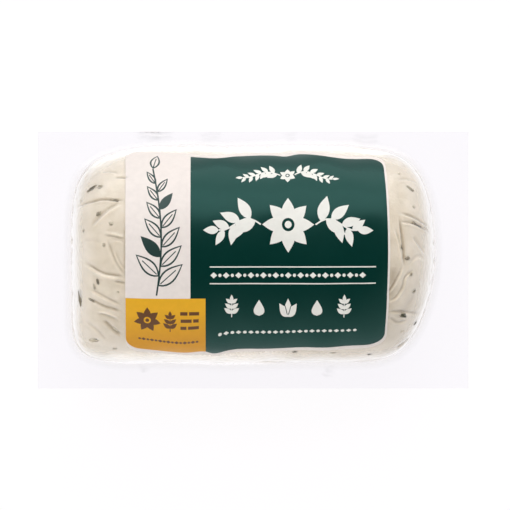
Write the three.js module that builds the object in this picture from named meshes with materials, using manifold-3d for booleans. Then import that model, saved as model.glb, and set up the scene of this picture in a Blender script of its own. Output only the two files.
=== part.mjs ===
// A vacuum-packed goat cheese log: a soft round log drawn tight between two clear webs of film.
// The webs are sealed together in a flat rim around the log, and a printed label lies on the front.
// Units are millimetres. X runs along the log, +Z is the label side, and the pack rests at Z = 0.
// The origin is the middle of the rim, dropped to the resting face. All geometry is made around
// the log's centre, and one group then carries it to its place.

import * as THREE from "three";
import { mergeVertices } from "three/addons/utils/BufferGeometryUtils.js";
import Module from "manifold-3d";

// Driving dimensions
const LOG_LENGTH = 80;
const LOG_WIDTH = 47.4;
const LOG_DEPTH = 40.5;
const RIM_LENGTH = 95;
const RIM_WIDTH = 56.6;
const RIM_THICKNESS = 0.5;
const LABEL_LENGTH = 58.8;
const LABEL_HEIGHT = 49.8;
const LABEL_THICKNESS = 0.25;

// Where things sit
const LOG_SHIFT_Y = 1.2; // the log is packed a little off the middle of the rim
const PRESSED_FLAT = 0.8; // how far the log's own weight presses in its underside
const LABEL_SHIFT_X = 1; // the label's middle, along the log
const LABEL_TURN = 0.042; // and its middle, in radians around the log from straight up
const LABEL_GAP = 0.3;
const LABEL_CORNER = 3;

// The log's form. A power of 2 is round and a higher one is squarer. An end's bulge is how much
// shorter the log is at its sides than along its axis, and its dome how much shorter still it is
// at its top and underside. Pairs hold the values at -Y and at +Y.
const SECTION_POWER = 2.15;
const LEFT_END = { bulge: [0.01, 0.01], dome: 0.1, power: [9, 5] };
const RIGHT_END = { bulge: [0.2, 0.12], dome: 0, power: [9, 7] };

// Low waves all over the log: height, waves around the log, length of a wave along it, phase
const LUMPS = [
  { height: 0.16, around: 3, along: 34, phase: 0.6 },
  { height: 0.1, around: 5, along: 19, phase: 2.1 },
  { height: 0.06, around: 9, along: 11, phase: 4 },
];

// Pleats of slack film, which run over the rounded edges of both ends
const PLEAT_COUNT = 11;
const PLEAT_SHARPNESS = 4;
const PLEAT_DEPTH = 0.45;
const PLEAT_START = 29; // distance from the middle of the log
const PLEAT_FULL = 36;

// Where the webs leave the log and meet in the rim
const SKIRT_RADIUS = 2.2;
const SKIRT_STEPS = 4;
const SKIRT_INSIDE = 2; // how far the skirt reaches into the log
const LATHE_HUB = 10; // the lathe radius that stands for the log's outline

// Relief fades out between these distances from the log's axis, as shares of its half width
const FADE_START = 0.1;
const FADE_FULL = 0.8;
const END_SHARPNESS = 5; // how suddenly the outward direction turns along the axis at an end

// Fineness of the faceted surfaces
const LOG_AROUND = 80;
const LOG_BELTS = 32;
const SKIRT_AROUND = 88;
const LABEL_ALONG = 20;
const LABEL_ACROSS = 26;
const CROWDING = 1.35; // how much wider than even the label's middle facets are
const SOLVER_STEPS = 30;
const ANGLE_STEP = 0.01;
const WELD = 1e-4;

const PACK_LOOK = { color: 0xe6dcc8, roughness: 0.3, metalness: 0 };
const LABEL_LOOK = { color: 0x0a332d, roughness: 0.45, metalness: 0 };

const { lerp, smoothstep } = THREE.MathUtils;
const HALF = new THREE.Vector3(LOG_LENGTH, LOG_WIDTH, LOG_DEPTH).divideScalar(2);
const RESTING_Z = PRESSED_FLAT - HALF.z;

// The log's form. u, v and w are places in units of its half length, half width and half depth.

// 1 on the log's surface, less inside it and more outside.
function fullness(u, v, w) {
  const across = (Math.abs(v) ** SECTION_POWER + Math.abs(w) ** SECTION_POWER) ** (1 / SECTION_POWER);
  const end = u < 0 ? LEFT_END : RIGHT_END;
  const side = across > 0 ? (1 + v / across) / 2 : 0.5;
  const bulge = lerp(...end.bulge, side);
  const power = lerp(...end.power, side);
  const shorter = bulge * Math.min(across, 1) ** 2 + end.dome * Math.min(Math.abs(w), 1) ** 2;
  const along = Math.abs(u) / (1 - shorter);
  return (along ** power + across ** power) ** (1 / power);
}

// The surface in a direction from the log's centre.
function surfaceToward(u, v, w) {
  let reach = 1;
  for (let i = 0; i < SOLVER_STEPS; i++) {
    reach /= fullness(reach * u, reach * v, reach * w);
  }
  return new THREE.Vector3(u, v, w).multiplyScalar(reach);
}

// The surface at a place along the log and an angle around it from straight up.
function surfaceAt(u, angle) {
  let inside = 0;
  let outside = 2;
  for (let i = 0; i < SOLVER_STEPS; i++) {
    const reach = (inside + outside) / 2;
    if (fullness(u, reach * Math.sin(angle), reach * Math.cos(angle)) < 1) {
      inside = reach;
    } else {
      outside = reach;
    }
  }
  return new THREE.Vector3(u, inside * Math.sin(angle), inside * Math.cos(angle));
}

// Height of the lumps and pleats in millimetres. They fade out toward the middle of each end.
function relief({ x: u, y: v, z: w }) {
  const x = u * HALF.x;
  const angle = Math.atan2(v, w);
  const lumps = LUMPS.reduce(
    (sum, { height, around, along, phase }) =>
      sum + height * Math.sin(around * angle + phase) * Math.cos((2 * Math.PI * x) / along + phase),
    0,
  );
  const pleat = Math.max(0, Math.cos(PLEAT_COUNT * angle + Math.sign(x))) ** PLEAT_SHARPNESS;
  const pleats = PLEAT_DEPTH * pleat * smoothstep(Math.abs(x), PLEAT_START, PLEAT_FULL);
  return (lumps - pleats) * smoothstep(Math.hypot(v, w), FADE_START, FADE_FULL);
}

// A surface point in millimetres, with its relief, lifted off and pressed flat underneath.
function placed(surface, lift = 0) {
  const outward = surface.clone().setX(surface.x ** END_SHARPNESS).divide(HALF).normalize();
  const point = surface.clone().multiply(HALF).addScaledVector(outward, relief(surface) + lift);
  return point.setZ(Math.max(point.z, RESTING_Z));
}

// Moves each vertex of a geometry to where a function of its place puts it.
function reshaped(geometry, move) {
  const position = geometry.getAttribute("position");
  for (let i = 0; i < position.count; i++) {
    const moved = move(new THREE.Vector3().fromBufferAttribute(position, i));
    position.setXYZ(i, moved.x, moved.y, moved.z);
  }
  geometry.deleteAttribute("normal");
  geometry.deleteAttribute("uv");
  return mergeVertices(geometry, WELD);
}

// The log is a sphere with its poles at the top and the bottom, drawn out to the log's form.
function logGeometry() {
  const sphere = new THREE.SphereGeometry(1, LOG_AROUND, LOG_BELTS).rotateX(Math.PI / 2);
  return reshaped(sphere, ({ x, y, z }) => placed(surfaceToward(x, y, z)));
}

// The log's widest outline, seen from above, at an angle from +X.
function outline(angle) {
  return placed(surfaceToward(Math.cos(angle), Math.sin(angle), 0));
}

// The skirt is where the two webs curve away from the log and come together. Its profile is
// turned on a lathe, and each radius then becomes a distance out from the log's outline.
function skirtGeometry() {
  const arc = [];
  for (let i = 0; i <= SKIRT_STEPS; i++) {
    const turn = ((Math.PI / 2) * i) / SKIRT_STEPS;
    arc.push([SKIRT_RADIUS * (1 - Math.cos(turn)), SKIRT_RADIUS * (1 - Math.sin(turn))]);
  }
  const upper = [[-SKIRT_INSIDE, SKIRT_RADIUS], ...arc];
  const lower = upper.slice(0, -1).map(([out, rise]) => [out, -rise]);
  const profile = [...lower, ...upper.reverse(), lower[0]];
  const points = profile.map(([out, rise]) => new THREE.Vector2(LATHE_HUB + out, rise));
  const turned = new THREE.LatheGeometry(points, SKIRT_AROUND).rotateX(Math.PI / 2);
  return reshaped(turned, ({ x, y, z }) => {
    const angle = Math.atan2(y, x);
    const out = Math.hypot(x, y) - LATHE_HUB;
    const tangent = outline(angle + ANGLE_STEP).sub(outline(angle - ANGLE_STEP)).normalize();
    const normal = new THREE.Vector3(tangent.y, -tangent.x, 0);
    return outline(angle).addScaledVector(normal, out).setZ(z);
  });
}

// The rim is a flat plate all round, with the log a little off its middle.
function rimGeometry() {
  const plate = new THREE.BoxGeometry(RIM_LENGTH, RIM_WIDTH, RIM_THICKNESS);
  return reshaped(plate, ({ x, y, z }) => new THREE.Vector3(x, y - LOG_SHIFT_Y, z));
}

// Draws the lines of an even grid together toward its edges, at -half and half.
function crowded(place, half) {
  return place * (CROWDING - (CROWDING - 1) * (place / half) ** 2);
}

// The label is a thin sheet with rounded corners, bent over the log.
function labelGeometry() {
  const halfLength = LABEL_LENGTH / 2;
  const halfHeight = LABEL_HEIGHT / 2;
  const bendRadius = (HALF.y + HALF.z) / 2;
  const size = [LABEL_LENGTH, LABEL_HEIGHT, LABEL_THICKNESS];
  const sheet = new THREE.BoxGeometry(...size, LABEL_ALONG, LABEL_ACROSS, 1);
  return reshaped(sheet, ({ x, y, z }) => {
    const along = crowded(x, halfLength);
    const across = crowded(y, halfHeight);
    const overX = Math.max(0, Math.abs(along) - halfLength + LABEL_CORNER);
    const overY = Math.max(0, Math.abs(across) - halfHeight + LABEL_CORNER);
    const trim = overX * overY > 0 ? 1 - Math.max(overX, overY) / Math.hypot(overX, overY) : 0;
    const u = (along - Math.sign(along) * overX * trim + LABEL_SHIFT_X) / HALF.x;
    const angle = LABEL_TURN + (across - Math.sign(across) * overY * trim) / bendRadius;
    return placed(surfaceAt(u, angle), LABEL_GAP + LABEL_THICKNESS / 2 + z);
  });
}

// Joining solids

const wasm = await Module();
wasm.setup();

function solidOf(geometry) {
  const mesh = new wasm.Mesh({
    numProp: 3,
    vertProperties: new Float32Array(geometry.getAttribute("position").array),
    triVerts: new Uint32Array(geometry.index.array),
  });
  return new wasm.Manifold(mesh);
}

function geometryOf(solid) {
  const mesh = solid.getMesh();
  const geometry = new THREE.BufferGeometry();
  geometry.setAttribute("position", new THREE.BufferAttribute(mesh.vertProperties, 3));
  geometry.setIndex(new THREE.BufferAttribute(mesh.triVerts, 1));
  return geometry;
}

// The pack

function named(name, geometry, look) {
  geometry.computeVertexNormals();
  const mesh = new THREE.Mesh(geometry, new THREE.MeshStandardMaterial(look));
  mesh.name = name;
  return mesh;
}

const sealedPack = solidOf(logGeometry()).add(solidOf(skirtGeometry())).add(solidOf(rimGeometry()));

const aroundLog = new THREE.Group();
aroundLog.position.set(0, LOG_SHIFT_Y, -RESTING_Z);
aroundLog.add(named("sealed_pack", geometryOf(sealedPack), PACK_LOOK));
aroundLog.add(named("label", labelGeometry(), LABEL_LOOK));

const pack = new THREE.Group();
pack.add(aroundLog);

export default pack;
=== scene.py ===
import math

import bmesh
import bpy
import numpy as np
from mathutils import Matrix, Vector
from mathutils.geometry import delaunay_2d_cdt


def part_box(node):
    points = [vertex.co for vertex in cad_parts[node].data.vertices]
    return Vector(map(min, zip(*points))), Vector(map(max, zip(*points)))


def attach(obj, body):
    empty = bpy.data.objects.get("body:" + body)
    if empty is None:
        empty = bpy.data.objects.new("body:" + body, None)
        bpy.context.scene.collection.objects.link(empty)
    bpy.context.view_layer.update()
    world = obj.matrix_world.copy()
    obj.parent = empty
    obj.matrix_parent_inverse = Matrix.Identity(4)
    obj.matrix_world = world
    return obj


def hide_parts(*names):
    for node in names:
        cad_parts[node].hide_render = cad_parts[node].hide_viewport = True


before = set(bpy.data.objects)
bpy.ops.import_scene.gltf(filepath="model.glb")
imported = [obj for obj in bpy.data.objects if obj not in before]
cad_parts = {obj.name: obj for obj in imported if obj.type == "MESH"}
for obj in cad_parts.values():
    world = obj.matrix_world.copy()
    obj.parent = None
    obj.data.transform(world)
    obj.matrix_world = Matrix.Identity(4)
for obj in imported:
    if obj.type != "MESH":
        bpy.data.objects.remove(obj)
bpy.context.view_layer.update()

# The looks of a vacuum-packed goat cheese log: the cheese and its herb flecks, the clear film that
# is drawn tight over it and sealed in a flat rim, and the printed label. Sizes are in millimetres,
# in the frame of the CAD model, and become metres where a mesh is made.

MM = 0.001
RANDOM = np.random.default_rng(7)

# The log, as in the CAD model
LOG_LENGTH = 80.0
LOG_WIDTH = 47.4
LOG_DEPTH = 40.5
LOG_SHIFT = (0.0, 1.2)
PRESSED_FLAT = 0.8
FLAT_BLEND = 0.3  # how softly the flat spot underneath runs out
SECTION_POWER = 2.15
LEFT_BULGE = (0.01, 0.01)  # pairs hold the values at -Y and at +Y
LEFT_DOME = 0.1  # the left end is this much shorter still at its top and underside
LEFT_POWER = (9.0, 5.0)
RIGHT_BULGE = (0.2, 0.12)
RIGHT_POWER = (9.0, 7.0)
LUMPS = ((0.16, 3, 34, 0.6), (0.1, 5, 19, 2.1), (0.06, 9, 11, 4.0))  # height, around, along, phase
LUMP_FADE = (0.1, 0.8)

# The film and its rim
WALL_HEIGHT = 10.0  # the log's ends are steep up to here from the rim
SKIRT_RADIUS = 2.2
FILM_GAP = 0.12  # between the film and the cheese under it
SEALED_HALF = 0.1  # half the thickness of the two webs where they are sealed
SKIRT_TURNS = (18, 36, 54, 70, 82, 90)  # the rows of the skirt, in degrees around its curve
RIM_SHARES = (0.1, 0.22, 0.36, 0.5, 0.64, 0.78, 0.88, 0.94, 0.975, 0.99, 1.0)  # rows, skirt to edge
RIM_WAVE = 0.22
RIM_WAVE_FADE = (0.8, 1.0)  # shares of the way from the rim's middle to its edge

# The label, as in the CAD model
LABEL_LENGTH = 58.8
LABEL_HEIGHT = 49.8
LABEL_SHIFT_X = 1.0
LABEL_TURN = 0.042
LABEL_CORNERS = (3.0, 4.6, 4.2, 3.0)  # counterclockwise from the lower left one
LABEL_THICKNESS = 0.1
LABEL_LIFT = 0.06
EDGE_INSET = (1, 0.992)  # the paper stands proud, so its edges are nearer the middle than they look
EDGE_REACH = 13.0  # how far in from the label's edges the print is uneven
PUCKER = 0.05
PUCKER_REACH = 9.0
LOOSE_LIFT = 0.16  # how far the paper stands off at the middle of its left edge
LOOSE_REACH = 1.1
LOOSE_HALF = 7.0  # half the length of edge that stands off
LOOSE_FADE = 3.0
LABEL_TRIM = (0.42, 0.45)  # how far the paper ends inside the left and right ends of the CAD sheet
LABEL_BOW = (0.95, 1.4)  # how far the right edge's lower and upper corners are drawn in
GREEN_MIDDLE = 6.7  # the middle of the green field's ornaments, along the label
PRINT_TOP = 23.5  # the edges of the print, across the label
PRINT_BOTTOM = -23.75
YELLOW_PAINTED_SHADE = (0.84, 0.72, 0.78)  # painted shade: the yellow grows this much darker toward its lower edge
FOOT_FADE = (-18.0, -10.8)  # between these places in plan

# Where the photo shows the print's upper and lower edges, which the film under them makes uneven
TOP_EDGE = ((125, 156.5), (191, 156.7), (217, 158.8), (240, 156), (270, 155.5), (287, 156.5),
            (303, 154.6), (334, 158), (368, 159.3), (391, 160))
BOTTOM_EDGE = ((125, 346), (136, 347.5), (181, 352), (204, 351), (215, 352.9), (234, 349.6),
               (281, 347.9), (316, 346.6), (370, 344.3), (391, 343))

# Herb flecks in the cheese
FLECK_THICKNESS = 0.16
FLECK_SMEAR = 1.3  # how much wider a fleck is with its smeared edge
SMEAR_FADE = 0.75  # how near its edge comes to the cheese's colour
FLECK_UNEVENNESS = 0.2
CHEESE_TINT = (0.7, 0.613, 0.482)
FLECK_TINTS = ((0.055, 0.047, 0.022), (0.05, 0.05, 0.025), (0.07, 0.05, 0.026), (0.06, 0.05, 0.028))

# Flecks that the photo doesn't show
OTHER_FLECKS = 520  # how many are tried all around the log, with a third as many on its ends
FLECK_REACH = 0.96  # how far along the log they are tried
FLECK_SPREAD = 0.9  # and how far from the middle of an end
FLECK_CEILING = (-0.5, -0.08)  # those below a height drawn between these are kept
FLECK_LENGTH = (-0.25, 0.45)  # mean and spread of a length's logarithm
FLECK_SLIMNESS = (0.3, 0.8)
FLECK_FAINTNESS = (0, 0.1, 0.3, 0.5, 0.7)

# Folds that the photo doesn't show: below the rim (-1) or above it (1), how many, the longest in
# degrees, height of the ridge and depth of the groove
OTHER_FOLDS = ((-1, 64, 62, 0.3, 0.24), (1, 56, 20, 0.0, 0.12))
OTHER_FOLD_START = 4  # degrees from the rim
OTHER_FOLD_SPREAD = 0.42  # around the middle of an end, in radians
OTHER_FOLD_CLIMB = (0.35, 1)  # shares of the longest
OTHER_FOLD_LEAN = 0.1  # spread of the lean and of the sway, in radians
OTHER_FOLD_SWAY = 0.05
OTHER_FOLD_STRENGTH = (0.4, 1)
OTHER_FOLD_WIDTH = (0.34, 0.6)

# The form of a fold
FOLD_REACH = 4  # widths from its line beyond which nothing of it is left
FOLD_ASIDE = 0.6  # widths from its line to its ridge and to its groove
FOLD_TAPER = (-0.02, 0.22)  # shares of its length between which it rises from an end
DEEP_FOLD = 0.34  # a groove this deep gets the darkest painted shade
COVER_ALONG = (0.2, 2.4)  # folds fade out between these distances in from the label's ends
COVER_ABOVE = (4, 8)  # and between these heights above the rim

# Fineness
REACH_STEPS = 20
HALVING_STEPS = 30
OUTLINE_SAMPLES = 4001
MERIDIAN_SAMPLES = 1001
SIDE_SPACING = 0.9  # between columns along the log's sides
FINE_UNDER_LABEL = (4, 3)  # how far columns and rows stay close together in under the label
JUST_INSIDE = 0.999
TINY = 1e-9

# The photo's scale, and the pixel at the middle of the rim
MM_PER_PIXEL = 0.2207
RIM_MIDDLE_PIXEL = (253.1, 260.1)
PHOTO_MIDDLE_PIXEL = (255.0, 255.0)
PHOTO_PIXELS = 510
CAMERA_DISTANCE = 2500  # from the middle of the log

HALF = np.array([LOG_LENGTH, LOG_WIDTH, LOG_DEPTH]) / 2
LOG_CENTRE = np.array([*LOG_SHIFT, HALF[2] - PRESSED_FLAT])
POLES = np.array([[0.0, 0.0, 1.0], [0.0, 0.0, -1.0]])
BEND_RADIUS = (HALF[1] + HALF[2]) / 2
LABEL_LOW = np.array([LABEL_TRIM[0] - LABEL_LENGTH / 2, -LABEL_HEIGHT / 2])
LABEL_HIGH = np.array([LABEL_LENGTH / 2 - LABEL_TRIM[1], LABEL_HEIGHT / 2])
RIM_LOW, RIM_HIGH = (np.array(corner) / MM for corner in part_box("sealed_pack"))

# Folds of slack film on the front, as pixels of the photo from one end to the other.
# Each has the height of its ridge, the depth of the groove on its left-hand side and their width.
FRONT_FOLDS = (
    (0.18, 0.41, 0.3, ((75, 209.5), (84, 205.3), (93, 202.6), (104, 200.6), (124.5, 201.3))),
    (0.11, 0.35, 0.24, ((114, 178), (120, 177.6), (127, 178.5))),
    (0.16, 0.22, 0.36, ((101, 172.8), (109, 171.8), (118, 173.5))),
    (0.2, 0.22, 0.48, ((92, 228), (97, 222.3), (104.3, 214.6), (111, 209.4), (121, 203.8))),
    (0.36, 0.27, 0.28, ((125, 238.5), (115, 235.6), (104, 234))),
    (0.18, 0.11, 0.24, ((112, 240), (118, 241), (125, 243.5))),
    (0.13, 0.22, 0.35, ((105.5, 238), (110, 250), (115, 262), (125, 277))),
    (0.13, 0.16, 0.29, ((114, 250), (119, 262), (125, 270))),
    (0.4, 0.36, 0.4, ((83, 262.5), (90, 267.3), (97, 271.8), (104.5, 275.2), (114, 276.8), (125, 278))),
    (0.11, 0.3, 0.29, ((114.5, 282.3), (120, 283), (125.5, 284.3))),
    (0.33, 0.27, 0.3, ((88, 288.8), (92.7, 291.9), (100.2, 295.6), (109.3, 300.6), (122, 306))),
    (0.15, 0.35, 0.34, ((88, 299), (96, 303.3), (104, 307.3), (112, 309.6), (122, 313))),
    (0.42, 0.27, 0.33, ((119, 319.2), (112, 316.3), (104, 313.3), (96.5, 312.4))),
    (0.11, 0.38, 0.43, ((102, 320), (111.8, 329.6), (121.5, 337))),
    (0.05, 0.08, 0.5, ((82, 243), (92, 241), (101, 244))),
    (0.11, 0.16, 0.5, ((84, 322), (95, 330), (106, 342))),
    # The next one is a shallow groove along the label's left edge, whose painted shade stands for the
    # shadow of the paper's lifted edge.
    (0, 0.17, 0.22, ((126, 284), (125.8, 252), (126, 219))),
    (0.33, 0.41, 0.29, ((399.5, 213.5), (413.5, 218.5), (424, 225.5), (431, 232.5))),
    (0.33, 0.38, 0.29, ((400, 222.5), (412, 224.2), (422, 229), (430, 235))),
    (0.15, 0.49, 0.29, ((398.5, 217), (400.5, 233), (402.5, 252), (403.5, 267))),
    (0.29, 0.22, 0.24, ((394, 228), (397.5, 240), (400.5, 254), (401.5, 266))),
    (0.33, 0.35, 0.3, ((388, 303), (396.5, 298.5), (403, 288.5), (406.5, 277), (414, 271))),
    (0.29, 0.3, 0.27, ((388, 295), (395, 284.5), (401, 272), (402.5, 266))),
    (0.13, 0.3, 0.36, ((388, 312.5), (403, 313.5), (421, 315))),
    (0.13, 0.3, 0.36, ((388, 318), (398, 324), (409, 321))),
    (0.05, 0.42, 0.42, ((396, 348.8), (402, 344), (410, 337.5))),
    (0.13, 0.19, 0.43, ((412, 237), (418, 245.5), (424.5, 255))),
    (0.11, 0.16, 0.43, ((410, 264), (417, 258), (424, 259))),
    (0.13, 0.16, 0.43, ((398, 181), (408, 180), (417, 184))),
    # The last two are wide, shallow grooves without ridges, whose painted shade darkens the lower right
    # of the log's end.
    (0, 0.22, 1.1, ((391, 302), (395, 286), (397, 266))),
    (0, 0.16, 1.2, ((398, 322), (408, 310), (417, 296))),
)
RIM_FOLDS = (
    (0.16, 0.1, 0.5, ((142, 360), (145, 373))),
    (0.16, 0.1, 0.5, ((333, 364), (325, 379))),
    (0.18, 0.18, 0.6, ((136, 136), (150, 134), (164, 137))),
    (0.14, 0.14, 0.6, ((145, 138.5), (158, 135.5), (174, 135))),
    (0.1, 0.1, 0.6, ((200, 139), (214, 135.5), (222, 137))),
    (0.08, 0.08, 0.6, ((284, 138), (297, 135.5))),
    (0.12, 0.12, 0.6, ((352, 137), (366, 140), (380, 138))),
)

# Herb flecks that show on the front: pixel, length and width in millimetres, angle, how faint
FRONT_FLECKS = (
    (92.6, 188.2, 2.0, 0.72, 38, 0.12), (100.6, 186.5, 1.25, 0.75, 0, 0.55),
    (114, 201, 1.9, 0.68, 2, 0.32), (81, 201, 0.6, 0.4, 60, 0.6),
    (98.6, 214, 1.1, 0.7, 40, 0.33), (83.9, 230.8, 0.75, 0.5, 30, 0.6),
    (111, 223.6, 0.8, 0.6, 0, 0.8), (104, 245, 0.7, 0.5, 70, 0.6),
    (97.2, 281.2, 1.1, 0.55, 110, 0.2), (78.8, 298.2, 2.8, 1.4, 94, 0.26),
    (93.6, 287, 0.9, 0.5, 100, 0.7), (90.7, 300.3, 1.3, 0.5, -25, 0.33),
    (93, 341, 2.0, 0.9, 4, 0.8), (115.7, 330, 1.3, 0.7, -45, 0.8),
    (115, 349, 0.9, 0.6, 10, 0.7), (118, 292, 0.5, 0.35, 0, 0.75),
    (399.3, 173.6, 0.6, 0.4, 20, 0.85), (410, 188, 1.6, 0.66, -42, 0.46),
    (414, 206.7, 0.7, 0.5, 0, 0.84), (418.6, 225.7, 2.6, 1.4, -28, 0.06),
    (407, 258, 1.05, 0.62, 10, 0.34), (401.4, 247, 0.9, 0.35, 95, 0.3),
    (410.7, 274.3, 1.0, 0.5, 40, 0.45), (414.7, 291, 0.95, 0.7, 20, 0.36),
    (404.3, 316, 1.8, 1.0, -15, 0.0), (415.7, 323, 1.2, 1.0, 45, 0.0),
    (403, 332, 0.8, 0.5, 10, 0.93), (294.6, 352, 0.95, 0.62, 20, 0.15),
    (333, 353, 1.1, 0.45, 5, 0.65), (369.6, 354.8, 1.0, 0.7, 10, 0.0),
)


# The log's surface. Points are in units of its half length, half width and half depth.

def unit(vectors):
    return vectors / np.linalg.norm(vectors, axis=-1, keepdims=True)


def smoothstep(value, low, high):
    share = np.clip((value - low) / (high - low), 0, 1)
    return share * share * (3 - 2 * share)


def between(pair, share):
    return pair[0] + (pair[1] - pair[0]) * share


def fullness(points):
    """1 on the log's surface, less inside it and more outside."""
    u, v, w = np.moveaxis(points, -1, 0)
    across = (np.abs(v) ** SECTION_POWER + np.abs(w) ** SECTION_POWER) ** (1 / SECTION_POWER)
    side = (1 + v / np.maximum(across, TINY)) / 2
    bulge = np.where(u < 0, between(LEFT_BULGE, side), between(RIGHT_BULGE, side))
    power = np.where(u < 0, between(LEFT_POWER, side), between(RIGHT_POWER, side))
    dome = np.where(u < 0, LEFT_DOME, 0.0)
    shorter = bulge * np.minimum(across, 1) ** 2 + dome * np.minimum(np.abs(w), 1) ** 2
    along = np.abs(u) / (1 - shorter)
    return (along ** power + across ** power) ** (1 / power)


def surface_toward(directions):
    """The surface in each direction from the log's centre."""
    reach = np.ones(directions.shape[:-1])
    for _ in range(REACH_STEPS):
        reach = reach / fullness(directions * reach[..., None])
    return directions * reach[..., None]


def surface_at(longitude, latitude=0.0):
    """The surface at longitudes around the log's centre and latitudes above the rim."""
    level = np.cos(latitude)
    parts = (level * np.cos(longitude), level * np.sin(longitude), np.sin(latitude))
    return surface_toward(np.stack(np.broadcast_arrays(*parts), axis=-1))


def surface_along(start, heading):
    """The surface that lies from each start along its heading, or the start if that is outside."""
    inside = np.zeros(start.shape[:-1])
    outside = np.full(start.shape[:-1], 2.0)
    for _ in range(HALVING_STEPS):
        reach = (inside + outside) / 2
        within = fullness(start + heading * reach[..., None]) < 1
        inside = np.where(within, reach, inside)
        outside = np.where(within, outside, reach)
    return start + heading * inside[..., None]


def surface_around(u, angle):
    """The surface at places along the log and angles around it from straight up."""
    zero = np.zeros_like(u)
    start = np.stack([u, zero, zero], axis=-1)
    heading = np.stack([zero, np.sin(angle), np.cos(angle)], axis=-1)
    return surface_along(start, heading)


def surface_under(plan):
    """The top of the log under places in plan, in millimetres. Those outside it move to its edge."""
    start = np.concatenate([(plan - LOG_SHIFT) / HALF[:2], np.zeros_like(plan[..., :1])], axis=-1)
    start /= np.maximum(fullness(start), JUST_INSIDE)[..., None] / JUST_INSIDE
    return surface_along(start, np.broadcast_to([0.0, 0.0, 1.0], start.shape))


def outward(surface):
    """Unit normals of the surface, in millimetres."""
    step = 1e-4
    slopes = [fullness(surface + axis * step) - fullness(surface - axis * step) for axis in np.eye(3)]
    return unit(np.stack(slopes, axis=-1) / HALF)


def lumps(surface):
    """Height of the low waves all over the log."""
    x = surface[..., 0] * HALF[0]
    angle = np.arctan2(surface[..., 1], surface[..., 2])
    height = np.zeros_like(x)
    for tall, around, along, phase in LUMPS:
        height += tall * np.sin(around * angle + phase) * np.cos(2 * np.pi * x / along + phase)
    return height * smoothstep(np.hypot(surface[..., 1], surface[..., 2]), *LUMP_FADE)


def placed(surface, lift=0.0):
    """Surface points in millimetres, lifted off the log's form and pressed flat underneath."""
    points = surface * HALF + LOG_CENTRE
    points = points + outward(surface) * (lumps(surface) + lift)[..., None]
    points[..., 2] = (points[..., 2] + np.hypot(points[..., 2], FLAT_BLEND)) / 2
    return points


# Folds

def from_photo(pixels):
    """Places in plan, in millimetres, of pixels of the photo."""
    offset = (np.asarray(pixels, float) - RIM_MIDDLE_PIXEL) * MM_PER_PIXEL
    return offset * (1, -1)


def surface_seen(plan):
    """The log's surface where the camera sees it, at places in plan of the photo's pixels."""
    surface = surface_under(plan)
    nearer = surface[:, 2:] * HALF[2] / CAMERA_DISTANCE
    return surface_under(plan * (1 - nearer))


def smooth_line(points, step=0.25):
    """A Catmull-Rom curve through a few points, in steps of about the length given."""
    points = np.asarray(points, float)
    padded = np.vstack([2 * points[0] - points[1], points, 2 * points[-1] - points[-2]])
    stretches = []
    for a, b, c, d in zip(padded, padded[1:], padded[2:], padded[3:]):
        count = max(2, int(np.linalg.norm(c - b) / step))
        t = np.linspace(0, 1, count, endpoint=False)[:, None]
        bend = 2 * a - 5 * b + 4 * c - d
        twist = 3 * b - a - 3 * c + d
        stretches.append((2 * b + (c - a) * t + bend * t ** 2 + twist * t ** 3) / 2)
    return np.vstack([*stretches, points[-1:]])


def front_fold_lines():
    """The folds that the photo shows, as (ridge, groove, width, line on the log, normals there)."""
    for ridge, groove, width, pixels in FRONT_FOLDS:
        surface = surface_seen(smooth_line(from_photo(pixels)))
        yield ridge, groove, width, placed(surface), outward(surface)
    for ridge, groove, width, pixels in RIM_FOLDS:
        plan = smooth_line(from_photo(pixels))
        line = np.column_stack([plan, np.full(len(plan), LOG_CENTRE[2])])
        yield ridge, groove, width, line, np.broadcast_to([0.0, 0.0, 1.0], line.shape)


def other_fold_lines():
    """Folds that the photo doesn't show: on the back web, and low on the sides of the front web."""
    share = np.linspace(0, 1, 5)
    for side, count, longest, ridge, groove in OTHER_FOLDS:
        for index in range(count):
            at_end = index % 3 > 0
            if at_end:
                bearing = math.pi * (index % 2) + RANDOM.normal(0, OTHER_FOLD_SPREAD)
            else:
                bearing = RANDOM.uniform(0, 2 * math.pi)
            climb = RANDOM.uniform(*OTHER_FOLD_CLIMB) * longest
            latitude = np.radians(OTHER_FOLD_START + climb * share) * side
            lean = RANDOM.normal(0, OTHER_FOLD_LEAN) * share
            sway = RANDOM.normal(0, OTHER_FOLD_SWAY) * np.sin(4 * share)
            surface = surface_at(bearing + lean + sway, latitude)
            line = smooth_line(placed(surface))
            surface = surface_toward((line - LOG_CENTRE) / HALF)
            strength = RANDOM.uniform(*OTHER_FOLD_STRENGTH)
            width = RANDOM.uniform(*OTHER_FOLD_WIDTH)
            yield ridge * strength, groove * strength, width, line, outward(surface)


FOLDS = [*front_fold_lines(), *other_fold_lines()]


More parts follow.
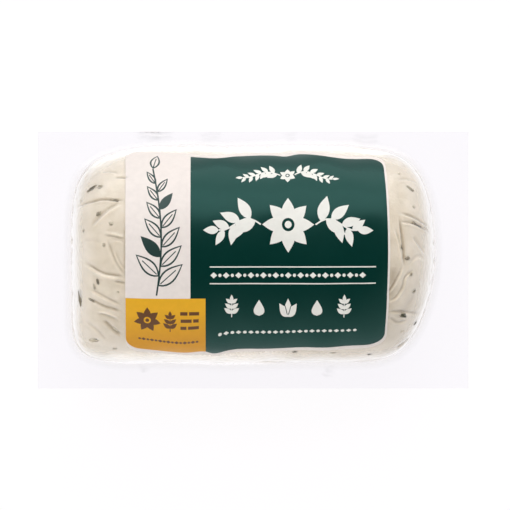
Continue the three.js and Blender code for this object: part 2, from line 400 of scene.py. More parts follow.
def fold_relief(points):
    """Height of the folds at points near the log, and how far each is in a groove (to 1) or on a
    ridge (to -1). Both fade out under the label."""
    flat = points.reshape(-1, 3)
    height = np.zeros(len(flat))
    crease = np.zeros(len(flat))
    for ridge, groove, width, line, normals in FOLDS:
        margin = FOLD_REACH * width
        low = line.min(0) - margin
        high = line.max(0) + margin
        near = np.flatnonzero(np.all((flat > low) & (flat < high), axis=1))
        if not len(near):
            continue
        away = flat[near][:, None, :] - line[None, :, :]
        closest = np.argmin((away ** 2).sum(-1), axis=1)
        offset = away[np.arange(len(near)), closest]
        heading = unit(np.gradient(line, axis=0)[closest])
        aside = np.einsum("ij,ij->i", np.cross(normals[closest], heading), offset) / width
        past = np.einsum("ij,ij->i", heading, offset) / width
        share = closest / (len(line) - 1)
        taper = smoothstep(np.minimum(share, 1 - share), *FOLD_TAPER) * np.exp(-past ** 2)
        rise = ridge * np.exp(-(aside + FOLD_ASIDE) ** 2)
        dip = groove * np.exp(-(aside - FOLD_ASIDE) ** 2)
        height[near] += (rise - dip) * taper
        crease[near] += (dip - rise) * taper / DEEP_FOLD
    height, crease = (value.reshape(points.shape[:-1]) for value in (height, crease))
    along = points[..., 0] - LOG_SHIFT[0] - LABEL_SHIFT_X
    under_label = smoothstep(LABEL_LENGTH / 2 - np.abs(along), *COVER_ALONG)
    shown = 1 - under_label * smoothstep(points[..., 2] - LOG_CENTRE[2], *COVER_ABOVE)
    return height * shown, np.clip(crease, -1, 1) * shown


# Meshes

def in_scene(name, data):
    thing = bpy.data.objects.new(name, data)
    bpy.context.collection.objects.link(thing)
    return thing


def make_piece(name, points, faces, materials, material_index=None):
    mesh = bpy.data.meshes.new(name)
    mesh.from_pydata((np.asarray(points) * MM).tolist(), [], faces)
    for material in materials:
        mesh.materials.append(material)
    if material_index is not None:
        mesh.polygons.foreach_set("material_index", material_index)
    mesh.shade_smooth()
    mesh.update()
    return in_scene(name, mesh)


def capped_grid_faces(rows, columns):
    """Quads between rows that close on themselves, and fans from one point before and one after."""
    top = rows * columns
    bottom = top + 1
    column = np.arange(columns)
    beside = np.roll(column, -1)
    row = (np.arange(rows - 1) * columns)[:, None]
    corners = (row + column, row + columns + column, row + columns + beside, row + beside)
    quads = np.stack(corners, axis=-1)
    last = (rows - 1) * columns
    first_fan = np.column_stack([np.full(columns, top), column, beside])
    last_fan = np.column_stack([last + beside, last + column, np.full(columns, bottom)])
    return [*first_fan.tolist(), *quads.reshape(-1, 4).tolist(), *last_fan.tolist()]


def grid_normals(grid):
    """Unit normals of a grid of points whose rows close on themselves, from its own slopes."""
    along = np.roll(grid, -1, axis=1) - np.roll(grid, 1, axis=1)
    down = np.gradient(grid, axis=0)
    normal = np.cross(down, along)
    return normal / np.maximum(np.linalg.norm(normal, axis=-1, keepdims=True), TINY)


def even_steps(places, line, spacing):
    """Places along a line, as far apart as spacing says for each of its short lengths."""
    lengths = np.linalg.norm(np.diff(line, axis=0), axis=1)
    count = np.concatenate([[0], np.cumsum(lengths / spacing)])
    return np.interp(np.linspace(0, count[-1], int(count[-1]) + 1), count, places)


def column_longitudes(fine):
    """Longitudes of the grid's columns: close together around the ends, wide apart on the sides."""
    longitude = np.linspace(0, 2 * np.pi, OUTLINE_SAMPLES)
    outline = surface_at(longitude) * HALF
    end = LABEL_LENGTH / 2 - FINE_UNDER_LABEL[0]
    spacing = np.where(np.abs(outline[1:, 0]) > end, fine, SIDE_SPACING)
    return even_steps(longitude, outline, spacing)[:-1]


def row_shares(wall, fine, coarse):
    """Shares of the way up from the log's outline to its pole. The rows are as far apart as given on
    the steep wall of the log's end, from there to the label's edge and under the label."""
    latitude = np.linspace(0, np.pi / 2, MERIDIAN_SAMPLES)
    meridian = surface_at(np.pi, latitude) * HALF
    end = FINE_UNDER_LABEL[1] - LABEL_LENGTH / 2
    spacing = np.where(meridian[1:, 0] < end, fine, coarse)
    spacing = np.where(meridian[1:, 2] < WALL_HEIGHT, wall, spacing)
    return even_steps(latitude, meridian, spacing) / (np.pi / 2)


def half_log(longitude, shares, side, start=0.0):
    """Rows of the log's surface from near its outline to near its pole, above or below."""
    low = np.broadcast_to(start, longitude.shape)
    latitude = low + (np.pi / 2 - low) * shares[:-1, None]
    return surface_at(longitude, side * latitude)


def closed_skin(name, grid, gap, material, crease, pole_crease):
    """A piece from rows of points that run from the log's top to its underside. Each point has a
    crease value, from which the material paints shade in the folds and highlights on their ridges."""
    points = np.vstack([grid.reshape(-1, 3), placed(POLES, -gap)])
    points[:, 2] = np.maximum(points[:, 2], gap)
    piece = make_piece(name, points, capped_grid_faces(*grid.shape[:2]), [material])
    attribute = piece.data.attributes.new("crease", "FLOAT", "POINT")
    attribute.data.foreach_set("value", [*crease.ravel(), pole_crease, pole_crease])
    return piece


def build_cheese(material):
    longitude = column_longitudes(fine=0.27)
    upper = half_log(longitude, row_shares(wall=0.7, fine=0.24, coarse=2.0), 1)
    lower = half_log(longitude, row_shares(wall=0.9, fine=1.2, coarse=2.0), -1)[1:]
    surface = np.concatenate([upper[::-1], lower])
    grid = placed(surface, -FILM_GAP)
    height, crease = fold_relief(grid)
    grid = grid + outward(surface) * height[..., None]
    return closed_skin("cheese_log", grid, FILM_GAP, material, crease / 2 + 0.5, 0.5)


def rim_edge(middles):
    """Where rays from the rim's middle through points in plan meet the rim's rectangle."""
    half = (RIM_HIGH - RIM_LOW)[:2] / 2
    edge = middles / np.max(np.abs(middles) / half, axis=1)[:, None]
    for corner in ((1, 1), (1, -1), (-1, 1), (-1, -1)):
        nearest = np.argmin(np.linalg.norm(edge - half * corner, axis=1))
        edge[nearest] = half * corner
    return edge


def rim_rows(longitude):
    """The skirt and the rim of the front web, from the log outward, as rows of points."""
    outline = placed(surface_at(longitude))
    tangent = np.roll(outline, -1, axis=0) - np.roll(outline, 1, axis=0)
    away = unit(np.column_stack([tangent[:, 1], -tangent[:, 0]]))
    rows = []
    for turn in np.radians(SKIRT_TURNS):
        plan = outline[:, :2] + away * SKIRT_RADIUS * (1 - math.cos(turn))
        rise = np.full(len(plan), SKIRT_RADIUS * (1 - math.sin(turn)))
        rows.append(np.column_stack([plan, rise]))
    skirt = rows[-1][:, :2]
    edge = rim_edge(skirt)
    for share in RIM_SHARES:
        plan = skirt + (edge - skirt) * share
        rows.append(np.column_stack([plan, np.zeros(len(plan))]))
    return np.array(rows)


def rim_wave(points):
    """The rim isn't quite flat: it waves a little, more toward its edge."""
    x, y = points[..., 0], points[..., 1]
    wave = np.sin(x / 7.3 + 0.8) * np.cos(y / 9.1) + 0.6 * np.sin(x / 3.9 - y / 5.2 + 2)
    beyond = np.maximum(np.abs(x) / RIM_HIGH[0], np.abs(y) / RIM_HIGH[1])
    return RIM_WAVE * wave * smoothstep(beyond, *RIM_WAVE_FADE)


def build_film(material):
    """One closed skin: the front web down to the rim's edge, then the back web from there."""
    longitude = column_longitudes(fine=0.32)
    reach = np.linalg.norm(surface_at(longitude), axis=1)
    leave = np.arcsin(SKIRT_RADIUS / HALF[2] / reach)
    front_shares = row_shares(wall=0.7, fine=0.28, coarse=2.0)
    back_shares = row_shares(wall=0.7, fine=0.8, coarse=1.8)
    front = placed(half_log(longitude, front_shares, 1, leave))
    back = placed(half_log(longitude, back_shares, -1, leave))
    rim = rim_rows(longitude)
    level = LOG_CENTRE[2] + rim_wave(rim)
    front_rim = rim.copy()
    front_rim[..., 2] = level + SEALED_HALF + rim[..., 2]
    back_rim = rim.copy()
    back_rim[..., 2] = level - SEALED_HALF - rim[..., 2]
    grid = np.concatenate([front[::-1], front_rim, back_rim[::-1], back])
    height, crease = fold_relief(grid)
    # Only on the rim do the folds paint shade into the film.
    on_rim = np.zeros(crease.shape)
    on_rim[len(front):len(front) + len(rim)] = 1.0
    grid = grid + grid_normals(grid) * height[..., None]
    piece = closed_skin("clear_film", grid, 0.0, material, np.abs(crease * on_rim), 0)
    piece.visible_shadow = False  # so thin a film lets the light through to what is under it
    piece.visible_diffuse = False
    piece.visible_glossy = False
    return piece


# Materials

class Shader:
    """A new material or world, with a short way to add nodes to it."""

    def __init__(self, name, kind="materials"):
        self.owner = getattr(bpy.data, kind).new(name)
        self.owner.use_nodes = True
        self.tree = self.owner.node_tree
        self.tree.nodes.clear()

    def add(self, kind, inputs, **settings):
        node = self.tree.nodes.new(kind)
        for setting, value in settings.items():
            setattr(node, setting, value)
        for socket, value in inputs.items():
            if isinstance(value, bpy.types.NodeSocket):
                self.tree.links.new(value, node.inputs[socket])
            else:
                node.inputs[socket].default_value = value
        return node.outputs

    def noise(self, size, detail=4.0, roughness=0.55):
        """Noise whose features are about a given size in millimetres."""
        place = self.add("ShaderNodeTexCoord", {})["Object"]
        return self.add("ShaderNodeTexNoise", {
            "Vector": place,
            "Scale": 1 / (size * MM),
            "Detail": detail,
            "Roughness": roughness,
        })["Fac"]

    def ramp(self, value, *stops):
        """A colour that changes with a value, through stops of (value, colour)."""
        outputs = self.add("ShaderNodeValToRGB", {"Fac": value})
        elements = outputs["Color"].node.color_ramp.elements
        while len(elements) < len(stops):
            elements.new(1.0)
        for element, (position, colour) in zip(elements, stops):
            element.position = position
            element.color = (*colour, 1)
        return outputs["Color"]

    def multiplied(self, colour, by):
        inputs = {"Factor": 1.0, 6: colour, 7: by}
        return self.add("ShaderNodeMix", inputs, data_type="RGBA", blend_type="MULTIPLY")[2]

    def bump(self, height, depth, strength=1.0, normal=None):
        inputs = {"Height": height, "Distance": depth * MM, "Strength": strength}
        if normal is not None:
            inputs["Normal"] = normal
        return self.add("ShaderNodeBump", inputs)["Normal"]

    def finish(self, surface, output="ShaderNodeOutputMaterial"):
        self.add(output, {"Surface": surface})
        return self.owner


def cheese_material():
    shader = Shader("cheese")
    curd = shader.ramp(shader.noise(3.5), (0.32, (0.682, 0.595, 0.464)), (0.7, (0.808, 0.72, 0.588)))
    crease = shader.add("ShaderNodeAttribute", {}, attribute_name="crease")["Fac"]
    # Painted shade darkens the cheese in the folds' grooves, and a painted highlight lightens it on
    # their ridges.
    ridge, flat, groove = (1.22, 1.23, 1.25), (1.0, 1.0, 1.0), (0.58, 0.53, 0.47)
    shade = shader.ramp(crease, (0.0, ridge), (0.5, flat), (1.0, groove))
    colour = shader.multiplied(curd, shade)
    normal = shader.bump(shader.noise(0.5, 6.0), 0.05)
    normal = shader.bump(shader.noise(1.8, 3.0), 0.16, 1.0, normal)
    surface = shader.add("ShaderNodeBsdfPrincipled", {
        "Base Color": colour,
        "Roughness": 0.55,
        "Specular IOR Level": 0.2,
        "Subsurface Weight": 0.12,
        "Subsurface Radius": (1.0, 0.7, 0.45),
        "Subsurface Scale": 0.4 * MM,
        "Normal": normal,
    })
    return shader.finish(surface["BSDF"])


def film_material():
    """Clear film: mostly see-through, with a gloss that grows toward grazing angles."""
    shader = Shader("film")
    normal = shader.bump(shader.noise(1.6, 3.0), 0.1)
    facing = shader.add("ShaderNodeLayerWeight", {"Blend": 0.5, "Normal": normal})["Facing"]
    steep = shader.add("ShaderNodeMapRange", {
        "Value": facing,
        "From Min": 0.53,
        "From Max": 0.95,
        "To Min": 0.0,
        "To Max": 0.58,
    }, interpolation_type="SMOOTHSTEP")["Result"]
    inputs = {0: facing, 1: 0.4, 2: steep}
    gloss = shader.add("ShaderNodeMath", inputs, operation="MULTIPLY_ADD")["Value"]
    # Painted shade: along the rim's folds the film's see-through colour turns grey.
    crease = shader.add("ShaderNodeAttribute", {}, attribute_name="crease")["Fac"]
    colour = shader.ramp(crease, (0.0, (0.978, 0.975, 0.986)), (1.0, (0.76, 0.76, 0.77)))
    clear = shader.add("ShaderNodeBsdfTransparent", {"Color": colour})["BSDF"]
    shine = shader.add("ShaderNodeBsdfGlossy", {
        "Color": (1, 1, 1, 1),
        "Roughness": 0.3,
        "Normal": normal,
    })["BSDF"]
    surface = shader.add("ShaderNodeMixShader", {"Fac": gloss, 1: clear, 2: shine})
    return shader.finish(surface["Shader"])


def herb_material():
    shader = Shader("herbs")
    tint = shader.add("ShaderNodeAttribute", {}, attribute_name="tint")["Color"]
    shade = shader.ramp(shader.noise(0.35), (0.3, (0.6, 0.6, 0.6)), (0.7, (1.25, 1.25, 1.2)))
    colour = shader.multiplied(tint, shade)
    surface = shader.add("ShaderNodeBsdfPrincipled", {"Base Color": colour, "Roughness": 0.7})
    return shader.finish(surface["BSDF"])


def ink_material(name, colour, roughness, gloss_tint=(1, 1, 1), shade_foot=None, gloss=0.5):
    """Print on coated paper: the colour is a little uneven, and the paper's fibres show in the gloss.
    Shade_foot, if given, is painted shade that darkens the colour toward the label's lower edge."""
    shader = Shader("label_" + name)
    thin = tuple(channel * 1.025 for channel in colour)
    full = tuple(channel * 0.975 for channel in colour)
    ink = shader.ramp(shader.noise(1.4, 5.0), (0.35, full), (0.65, thin))
    # Painted shade: the colour darkens toward the label's lower edge, which curves away from the light.
    if shade_foot:
        place = shader.add("ShaderNodeTexCoord", {})["Object"]
        across = shader.add("ShaderNodeSeparateXYZ", {"Vector": place})["Y"]
        limits = {"Value": across, "From Min": FOOT_FADE[0] * MM, "From Max": FOOT_FADE[1] * MM}
        share = shader.add("ShaderNodeMapRange", limits)["Result"]
        ink = shader.multiplied(ink, shader.ramp(share, (0.0, shade_foot), (1.0, (1.0, 1.0, 1.0))))
    fibres = shader.noise(0.3, 5.0)
    surface = shader.add("ShaderNodeBsdfPrincipled", {
        "Base Color": ink,
        "Roughness": roughness,
        "Specular IOR Level": gloss,
        "Specular Tint": (*gloss_tint, 1),
        "Normal": shader.bump(fibres, 0.008),
    })
    return shader.finish(surface["BSDF"])


def label_materials():
    return {
        "stock": ink_material("stock", (0.815, 0.745, 0.705), 0.58, gloss=0.6),
        "green": ink_material("green", (0.0008, 0.026, 0.0205), 0.26, (0.46, 1.0, 0.92)),
        "yellow": ink_material("yellow", (0.8, 0.42, 0.028), 0.35, (0.7, 0.6, 0.3), YELLOW_PAINTED_SHADE),
        "line": ink_material("line", (0.012, 0.04, 0.035), 0.35),
        "pale": ink_material("pale", (0.8, 0.79, 0.74), 0.35),
        "brown": ink_material("brown", (0.13, 0.05, 0.012), 0.35),
    }


# Herb flecks, which lie in the cheese's skin under the film

def fleck_places():
    """Places on the log's surface for flecks that the photo doesn't show: below and on the ends."""
    along = RANDOM.uniform(-FLECK_REACH, FLECK_REACH, OTHER_FLECKS)
    angle = RANDOM.uniform(0, 2 * np.pi, OTHER_FLECKS)
    sides = surface_around(along, angle)
    end_count = OTHER_FLECKS // 3
    end = np.where(np.arange(end_count) % 2, 1.0, -1.0)
    spread = RANDOM.uniform(-FLECK_SPREAD, FLECK_SPREAD, (end_count, 2))
    ends = surface_toward(np.column_stack([end, spread]))
    everywhere = np.vstack([sides, ends])
    return everywhere[everywhere[:, 2] < RANDOM.uniform(*FLECK_CEILING, len(everywhere))]


def fleck_list():
    """Each fleck's place on the log, its length, width and angle, and how faint it is."""
    for x, y, length, width, angle, faint in FRONT_FLECKS:
        place = surface_seen(from_photo([(x, y)]))[0]
        yield place, length, width, math.radians(angle), faint
    for place in fleck_places():
        length = RANDOM.lognormal(*FLECK_LENGTH)
        width = length * RANDOM.uniform(*FLECK_SLIMNESS)
        angle = RANDOM.uniform(0, math.pi)
        yield place, length, width, angle, RANDOM.choice(FLECK_FAINTNESS)


def build_flecks(material):
    """Small uneven blobs, pressed flat between the cheese and the film."""
    ball = bmesh.new()
    bmesh.ops.create_icosphere(ball, subdivisions=2, radius=1)
    form = np.array([vert.co[:] for vert in ball.verts])
    triangles = np.array([[vert.index for vert in face.verts] for face in ball.faces])
    ball.free()

    flecks = list(fleck_list())
    places = np.array([fleck[0] for fleck in flecks])
    normals = outward(places)
    middles = placed(places, -FILM_GAP / 2)
    middles += normals * fold_relief(middles)[0][:, None]
    points, faces, tints = [], [], []
    for (_, length, width, angle, faint), normal, middle in zip(flecks, normals, middles):
        right = unit(np.cross([0.0, 1.0, 0.0], normal) + np.array([1e-6, 0.0, 0.0]))
        ahead = np.cross(normal, right)
        long_way = math.cos(angle) * right + math.sin(angle) * ahead
        wide_way = np.cross(normal, long_way)
        uneven = form * (1 + FLECK_UNEVENNESS * RANDOM.normal(size=(len(form), 1)))
        shape = np.outer(uneven[:, 0], long_way) * length * FLECK_SMEAR / 2
        shape += np.outer(uneven[:, 1], wide_way) * width * FLECK_SMEAR / 2
        shape += np.outer(form[:, 2], normal) * FLECK_THICKNESS / 2
        faces.extend((triangles + len(form) * len(points)).tolist())
        points.append(middle + shape)
        leaf_tint = np.array(FLECK_TINTS[RANDOM.integers(len(FLECK_TINTS))])
        smeared = faint + (1 - faint) * SMEAR_FADE * (1 - np.abs(form[:, 2:])) ** 2
        tint = between((leaf_tint, np.array(CHEESE_TINT)), smeared)
        tints.append(np.column_stack([tint, np.ones(len(form))]))
    points = np.vstack(points)
    points[:, 2] = np.maximum(points[:, 2], 0)
    piece = make_piece("herb_flecks", points, faces, [material])
    colours = piece.data.color_attributes.new("tint", "FLOAT_COLOR", "POINT")
    colours.data.foreach_set("color", np.vstack(tints).ravel())
    return piece


# The label. Places on it are millimetres along it and across it, from its middle.

def pointing(degrees):
    """A unit vector at an angle from the label's length."""
    turn = math.radians(degrees)
    return np.array([math.cos(turn), math.sin(turn)])


def disc(radius, sides=16):
    turn = np.linspace(0, 2 * np.pi, sides, endpoint=False)
    return radius * np.column_stack([np.cos(turn), np.sin(turn)])


def diamond(length, height):
    return np.array([[length, 0], [0, height], [-length, 0], [0, -height]]) / 2


def bar(length, height):
    return np.array([[-length, -height], [length, -height], [length, height], [-length, height]]) / 2


def leaf(length, width, fullest=0.8, sides=9):
    """A pointed leaf from its stalk at the origin to its tip along the label."""
    share = np.linspace(0, 1, sides + 1)
    half = width / 2 * np.sin(np.pi * share ** fullest)
    lower = np.column_stack([length * share, -half])
    upper = np.column_stack([length * share, half])
    return np.vstack([lower, upper[-2:0:-1]])


def stroke(points, width):
    """A band of even width along a line."""
    points = np.asarray(points, float)
    heading = unit(np.gradient(points, axis=0))
    aside = np.column_stack([-heading[:, 1], heading[:, 0]]) * width / 2
    return np.vstack([points - aside, (points + aside)[::-1]])


def rounded_box(low, high, radii, sides=8):
    """A box whose corners have the radii given, counterclockwise from the lower left one."""
    inward = np.array([(1, 1), (-1, 1), (-1, -1), (1, -1)])
    outline = []
    for index, (sign, radius) in enumerate(zip(inward, radii)):
        corner = np.where(sign > 0, low, high)
        if not radius:
            outline.append(corner)
            continue
        middle = corner + sign * radius
        for turn in np.linspace(180 + 90 * index, 270 + 90 * index, sides + 1):
            outline.append(middle + radius * pointing(turn))
    return np.array(outline)


def moved(shape, place, degrees=0.0):
    ahead = pointing(degrees)
    spin = np.array([ahead, [-ahead[1], ahead[0]]])
    return shape @ spin + place


def outlined_leaf(place, degrees, length, width):
    """A leaf drawn as a line, with a midrib."""
    ahead = pointing(degrees)
    yield "line", moved(leaf(length, width), place, degrees)
    yield "stock", moved(leaf(length - 0.9, width - 0.75), place + 0.42 * ahead, degrees)
    rib = [place + ahead * length * share for share in (0.1, 0.4, 0.72)]
    yield "line", stroke(rib, 0.22)


def white_field_art():
    """A leafy herb sprig, drawn in line."""
    share = np.linspace(0, 1, 15)
    stem = np.column_stack([-22.6 + 1.5 * np.sin(3.1 * share + 0.3), -9.3 + 27.5 * share])
    for index in range(1, 13):
        root = stem[index]
        side = 1 if index % 2 else -1
        length = 7.4 - 0.3 * index
        degrees = 90 - side * (52 - 1.6 * index)
        if index in (4, 9):
            yield "line", moved(leaf(length, length * 0.42), root, degrees)
        else:
            yield from outlined_leaf(root, degrees, length, length * 0.42)
    yield "line", stroke(stem, 0.36)
    yield from outlined_leaf(stem[-1], 78, 4.8, 2.2)


def flower(middle, petals, length, width, heart, ink, ground):
    """Petals around a heart that shows the ground, with a dot in it."""
    for index in range(petals):
        yield ink, moved(leaf(length, width, 0.9), middle, 90 + 360 / petals * index)
    yield ground, moved(disc(heart), middle)
    yield ink, moved(disc(heart * 0.55, 12), middle)


def branch(start, reach, rise, leaves, size, ink):
    """A curved twig with leaves on both sides that grow smaller toward its tip."""
    share = np.linspace(0, 1, 2 * leaves + 1)
    twig = start + np.column_stack([reach * share, rise * np.sin(np.pi * 1.6 * share)])
    yield ink, stroke(twig, 0.32)
    heading = np.degrees(np.arctan2(*np.gradient(twig, axis=0).T[::-1]))
    for index in range(1, 2 * leaves):
        side = 1 if index % 2 else -1
        length = size * (1.08 - 0.5 * share[index])
        yield ink, moved(leaf(length, length * 0.46), twig[index], heading[index] + 48 * side)
    yield ink, moved(leaf(size * 0.62, size * 0.3), twig[-1], heading[-1])


def bead_row(middle, half, gap, big, small, ink):
    """A row of diamonds with dots between them."""
    count = int(half / gap)
    for index in range(-count, count + 1):
        place = middle + np.array([index * gap, 0.0])
        shape = diamond(big, big * 0.82) if index % 2 == 0 else disc(small, 10)
        yield ink, moved(shape, place)


def dash_row(middle, lengths, gap, height, ink):
    """Bars of the lengths given, side by side about a middle."""
    along = -(sum(lengths) + gap * (len(lengths) - 1)) / 2
    for length in lengths:
        yield ink, moved(bar(length, height), middle + np.array([along + length / 2, 0.0]))
        along += length + gap


def sprig(place, height, ink):
    """An upright twig with three pairs of leaves."""
    yield ink, stroke([place, place + np.array([0.0, height * 0.8])], 0.2)
    for share in (0.18, 0.42, 0.66):
        for degrees in (38, 142):
            size = height * (0.46 - 0.2 * share)
            yield ink, moved(leaf(size, size * 0.5), place + np.array([0.0, height * share]), degrees)
    yield ink, moved(leaf(height * 0.3, height * 0.16), place + np.array([0.0, height * 0.74]), 90)


def drop(place, height, ink):
    yield ink, moved(leaf(height, height * 0.66, 0.62, 12), place, 90)


def bulb(place, height, ink, ground):
    """A bulb with cloves and a short stalk."""
    for degrees, share in ((58, 0.84), (122, 0.84), (90, 0.96)):
        yield ink, moved(leaf(height * share, height * 0.44, 0.66, 12), place, degrees)
    for degrees in (76, 104):
        ahead = pointing(degrees)
        start = place + 0.12 * height * np.array([ahead[0], 1.0])
        yield ground, stroke([start, start + 0.5 * height * ahead], 0.16)


def green_field_art():
    """Ornaments in pale ink, in rows down the middle of the green field."""
    def centre(across, along=0.0):
        return np.array([GREEN_MIDDLE + along, across])

    for side in (-1, 1):
        yield from branch(centre(16.6, 1.6 * side), 8.4 * side, 0.8, 6, 2.5, "pale")
        yield from branch(centre(5.2, 6.0 * side), 9.2 * side, 1.2, 4, 5.6, "pale")
    yield from flower(centre(16.6), 6, 1.9, 1.2, 0.5, "pale", "green")
    yield from flower(centre(5.2), 8, 5.7, 2.9, 1.4, "pale", "green")
    yield "pale", moved(bar(36.4, 0.24), centre(-3.4, 1.0))
    yield from bead_row(centre(-5.1), 16.4, 1.36, 1.5, 0.36, "pale")
    yield "pale", moved(bar(36.4, 0.24), centre(-6.8, 1.0))
    for side in (-1, 1):
        yield from sprig(centre(-14.2, 12.4 * side), 4.9, "pale")
        yield from drop(centre(-13.8, 6.4 * side), 3.6, "pale")
    yield from bulb(centre(-14.0), 4.3, "pale", "green")
    yield from bead_row(centre(-18.2), 15.2, 1.36, 1.25, 0.42, "pale")


def yellow_field_art():
    """Small ornaments in brown ink."""
    yield from flower(np.array([-24.2, -14.8]), 7, 3.0, 1.6, 0.8, "brown", "yellow")
    yield from sprig(np.array([-19.2, -17.4]), 4.6, "brown")
    for across, lengths in ((-13.2, (1.6, 2.2)), (-14.8, (2.4, 1.2)), (-16.4, (1.3, 2.4))):
        yield from dash_row(np.array([-14.9, across]), lengths, 0.35, 0.75, "brown")
    yield from bead_row(np.array([-19.6, -20.2]), 6.3, 0.9, 1.1, 0.32, "brown")


def label_print():
    """Each ink's shapes in the order of printing: later ones lie over earlier ones."""
    yield "stock", rounded_box(LABEL_LOW, LABEL_HIGH, LABEL_CORNERS)
    yield "green", rounded_box((-14.73, PRINT_BOTTOM), (28.5, PRINT_TOP), (0, 4, 3.6, 0))
    yield "yellow", rounded_box((-28.94, PRINT_BOTTOM), (-11.42, -9.94), (3, 0, 0, 0))
    yield from white_field_art()
    yield from green_field_art()
    yield from yellow_field_art()


def uneven_edge(pixels, edge):
    """How far the print's edge is from its straight place, as a line of (along, offset) points."""
    plan = from_photo(pixels) * EDGE_INSET
    surface = surface_seen(plan)
    across = (np.arctan2(surface[:, 1], surface[:, 2]) - LABEL_TURN) * BEND_RADIUS
    along = plan[:, 0] - LOG_SHIFT[0] - LABEL_SHIFT_X
    return smooth_line(np.column_stack([along, across - edge])).T


TOP_UNEVEN = uneven_edge(TOP_EDGE, PRINT_TOP)
BOTTOM_UNEVEN = uneven_edge(BOTTOM_EDGE, PRINT_BOTTOM)


def label_points(along, across, lift):
    """Points of the bent label, with its puckered edges and the folds of the film under it."""
    half_length, half_height = LABEL_LENGTH / 2, LABEL_HEIGHT / 2
    bow = np.where(across < 0, *LABEL_BOW) * (across / half_height) ** 2
    u = (along - bow * np.clip(along / half_length, 0, 1) + LABEL_SHIFT_X) / HALF[0]
    inner = half_height - EDGE_REACH
    drawn = np.interp(along, *TOP_UNEVEN) * smoothstep(across, inner, PRINT_TOP)
    drawn += np.interp(along, *BOTTOM_UNEVEN) * smoothstep(-across, inner, -PRINT_BOTTOM)
    surface = surface_around(u, LABEL_TURN + (across + drawn) / BEND_RADIUS)
    waves = np.sin(along / 2.3 + 1) + np.sin(along / 4.1 + across / 9) + 0.5 * np.sin(along / 1.3 + 2)
    near_edge = smoothstep(np.abs(across), half_height - PUCKER_REACH, half_height)
    pucker = PUCKER * (2.5 + waves) * near_edge
    loose = np.exp(-((along + half_length) / LOOSE_REACH) ** 2)
    loose *= smoothstep(LOOSE_HALF - np.abs(across), 0, LOOSE_FADE)
    base = placed(surface)
    height = fold_relief(base)[0] + pucker + LOOSE_LIFT * loose + lift
    return base + outward(surface) * height[..., None]


def label_normals(along, across):
    step = 0.05

    def point(right, up):
        return label_points(along + right, across + up, LABEL_LIFT)

    return unit(np.cross(point(step, 0) - point(-step, 0), point(0, step) - point(0, -step)))


def loose_grid():
    """Points all over the label, closer together at its two ends, where folds run in under it."""
    fine_zone = 3.4
    left, low = LABEL_LOW
    right, high = LABEL_HIGH
    close = np.arange(low + 0.3, high - 0.1, 0.35)
    wide = np.arange(low + 0.4, high - 0.1, 0.9)
    patches = (
        (np.arange(left + 0.25, left + fine_zone, 0.3), close),
        (np.arange(left + fine_zone, right - fine_zone, 1.0), wide),
        (np.arange(right - fine_zone, right - 0.1, 0.3), close),
    )
    grid = np.vstack([np.stack(np.meshgrid(*patch), axis=-1).reshape(-1, 2) for patch in patches])
    corner = max(LABEL_CORNERS)
    beyond = np.maximum(np.maximum(LABEL_LOW + corner - grid, grid - LABEL_HIGH + corner), 0)
    return grid[np.hypot(*beyond.T) < corner - 0.15]


def split_finely(outline, longest=0.7):
    """The same outline with its long sides split, so that they can follow the log's curve."""
    points = []
    for start, end in zip(outline, np.roll(outline, -1, axis=0)):
        count = math.ceil(np.linalg.norm(end - start) / longest)
        points.extend(start + (end - start) * step / count for step in range(count))
    return np.array(points)


def border(triangles):
    """The vertices around a sheet of triangles, in counterclockwise order."""
    edges = {(a, b) for face in triangles for a, b in zip(face, (*face[1:], face[0]))}
    onward = {a: b for a, b in edges if (b, a) not in edges}
    loop = [next(iter(sorted(onward)))]
    while onward[loop[-1]] != loop[0]:
        loop.append(onward[loop[-1]])
    return loop


def build_label(materials):
    """A thin sheet, whose top is cut up along the edges of the print."""
    inks, outlines = zip(*((ink, split_finely(outline)) for ink, outline in label_print()))
    places = [Vector(place) for place in (*np.vstack(outlines), *loose_grid())]
    starts = np.cumsum([0, *map(len, outlines)])
    shapes = [list(range(first, last)) for first, last in zip(starts, starts[1:])]
    flat, _, triangles, _, _, covers = delaunay_2d_cdt(places, [], shapes, 1, 1e-4, True)
    triangles, covers = zip(*((face, cover) for face, cover in zip(triangles, covers) if cover))

    along, across = np.array(flat).T
    top = label_points(along, across, LABEL_LIFT + LABEL_THICKNESS)
    bottom = label_points(along, across, LABEL_LIFT)
    normals = label_normals(along, across)
    rim = border(triangles)
    heading = np.roll(top[rim], -1, axis=0) - np.roll(top[rim], 1, axis=0)
    sideways = unit(np.cross(heading, normals[rim]))

    under = [[index + len(top) for index in reversed(face)] for face in triangles]
    upper = 2 * len(top) + np.arange(len(rim))
    lower = upper + len(rim)
    walls = np.column_stack([upper, lower, np.roll(lower, -1), np.roll(upper, -1)]).tolist()
    names = list(materials)
    index = [names.index(inks[max(cover)]) for cover in covers]
    index += [names.index("stock")] * (len(under) + len(walls))
    points = np.vstack([top, bottom, top[rim], bottom[rim]])
    faces = [*triangles, *under, *walls]
    piece = make_piece("label_print", points, faces, list(materials.values()), index)
    vertex_normals = np.vstack([normals, -normals, sideways, sideways])
    piece.data.normals_split_custom_set_from_vertices(vertex_normals)
    return piece


# The stage

def light_tent():
    """Soft light from all sides, which fades toward the zenith."""
    shader = Shader("tent", "worlds")
    heading = shader.add("ShaderNodeTexCoord", {})["Generated"]
    height = shader.add("ShaderNodeSeparateXYZ", {"Vector": heading})["Z"]
    fade = shader.add("ShaderNodeMapRange", {"Value": height, "To Min": 1.05, "To Max": 0.0})
    light = {"Color": (1.0, 0.985, 0.97, 1), "Strength": fade["Result"]}
    surface = shader.add("ShaderNodeBackground", light)["Background"]
    bpy.context.scene.world = shader.finish(surface, "ShaderNodeOutputWorld")


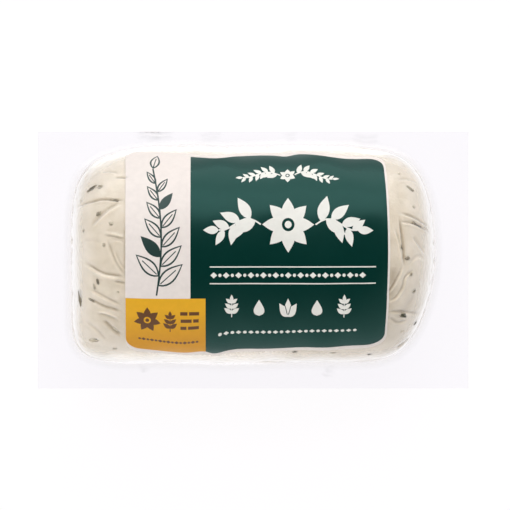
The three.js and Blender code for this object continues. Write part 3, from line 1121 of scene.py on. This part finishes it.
# Lights, with their places and sizes in metres, the radiance of their faces and what they face, if
# that isn't the pack. The first ones only show in gloss, and the others only light surfaces.
GLOSS_LIGHTS = (
    ("sheen", (-0.086, 0.515, 0.535), (1.2, 0.4), 1.5),
    ("low_sheen", (-0.114, 0.698, 0.198), (1.2, 0.37), 0.95),
    ("back_card", (-0.008, 0.052, 0.002), (0.08, 0.044), 0.4, (-0.008, 0, 1)),
    ("front_card", (-0.016, -0.062, 0.002), (0.04, 0.04), 0.65, (-0.016, 0, 1)),
    ("far_card", (-0.1, 0.6, 0.002), (1.2, 1.04), 0.8, (-0.1, 0.5, 1)),
)
LIGHTS = (
    ("back", (0, 0.68, 0.7), (0.8, 0.6), 2.65),
    ("front_left", (-0.8, -0.5, 0.2), (0.8, 0.6), 2.2),
    ("front", (0, -0.95, 0.25), (0.8, 0.6), 1.2),
    ("back_right", (0.7, 0.7, 0.2), (0.8, 0.6), 1.6),
    ("overhead", (0, 0.36, 1.04), (0.8, 0.6), 1.95),
)


def softbox(name, place, size, radiance, toward=LOG_CENTRE * MM, sheen=False):
    """A rectangular light."""
    data = bpy.data.lights.new(name, "AREA")
    data.shape = "RECTANGLE"
    data.size, data.size_y = size
    data.energy = radiance * math.pi * size[0] * size[1]
    light = in_scene(name, data)
    light.location = place
    heading = Vector(toward) - light.location
    light.rotation_euler = heading.to_track_quat("-Z", "Y").to_euler()
    light.visible_glossy = sheen
    light.visible_diffuse = not sheen
    light.visible_camera = False


def build_floor():
    """A pale floor that glows, so that shadows on it stay faint and it lights the pack from below."""
    bpy.ops.mesh.primitive_plane_add(size=8, location=(0, 0, -0.1 * MM))
    floor = bpy.context.object
    floor.name = "floor"
    shader = Shader("floor")
    ray = shader.add("ShaderNodeLightPath", {})
    seen = shader.add("ShaderNodeMath", {0: ray["Is Camera Ray"], 1: ray["Is Glossy Ray"]})["Value"]
    glow = shader.add("ShaderNodeMapRange", {"Value": seen, "To Min": 0.35, "To Max": 0.93})["Result"]
    surface = shader.add("ShaderNodeBsdfPrincipled", {
        "Base Color": (0.1, 0.1, 0.1, 1),
        "Roughness": 0.9,
        "Specular IOR Level": 0.0,
        "Emission Color": (1.0, 0.985, 1.0, 1),
        "Emission Strength": glow,
    })
    floor.data.materials.append(shader.finish(surface["BSDF"]))


def build_camera():
    """Looks straight down on the pack, with the photo's frame."""
    data = bpy.data.cameras.new("camera")
    camera = in_scene("camera", data)
    bpy.context.scene.camera = camera
    distance = CAMERA_DISTANCE * MM
    middle = from_photo(PHOTO_MIDDLE_PIXEL) * MM
    camera.location = (*middle, LOG_CENTRE[2] * MM + distance)
    data.lens = data.sensor_width * distance / (PHOTO_PIXELS * MM_PER_PIXEL * MM)


bpy.context.scene.view_settings.view_transform = "Standard"
light_tent()
for light in GLOSS_LIGHTS:
    softbox(*light, sheen=True)
for light in LIGHTS:
    softbox(*light)
build_floor()
build_camera()

cheese = build_cheese(cheese_material())
film = build_film(film_material())
flecks = build_flecks(herb_material())
label = build_label(label_materials())
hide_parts("sealed_pack")
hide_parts("sealed_pack")
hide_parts("label")
for piece, slot in ((cheese, "cheese"), (film, "film"), (flecks, "herbs"), (label, "label")):
    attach(piece, "root")
